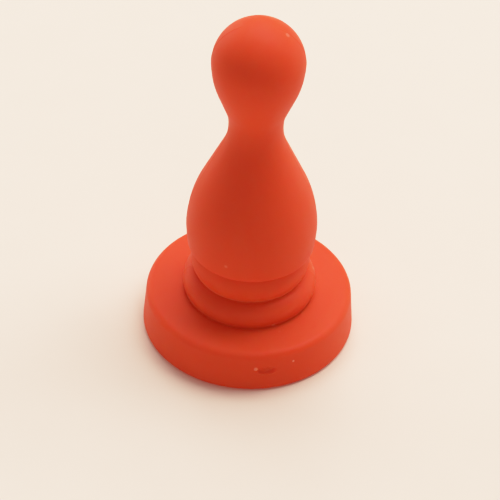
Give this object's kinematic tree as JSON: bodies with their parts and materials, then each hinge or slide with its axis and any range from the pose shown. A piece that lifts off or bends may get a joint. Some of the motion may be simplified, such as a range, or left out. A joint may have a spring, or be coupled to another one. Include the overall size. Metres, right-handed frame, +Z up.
{
  "type": "board game pawn",
  "caption": "Small moulded plastic playing pawn: ball head, narrow neck, pear-shaped body and two bead rings on a round disc base.",
  "frame": {"origin": "centre of the foot ring, on the surface the pawn stands on", "axes": "+Z up along the pawn's axis; the piece is round, and +X and +Y are level, with -Y towards the side with the gate scar"},
  "size_m": [0.0142, 0.0142, 0.025],
  "materials": {
    "base_plastic": "satin orange-red injection-moulded plastic",
    "figure_plastic": "satin orange-red injection-moulded plastic"
  },
  "bodies": {
    "root": {"base_disc": "base_plastic", "pawn_figure": "figure_plastic"}
  },
  "joints": []
}
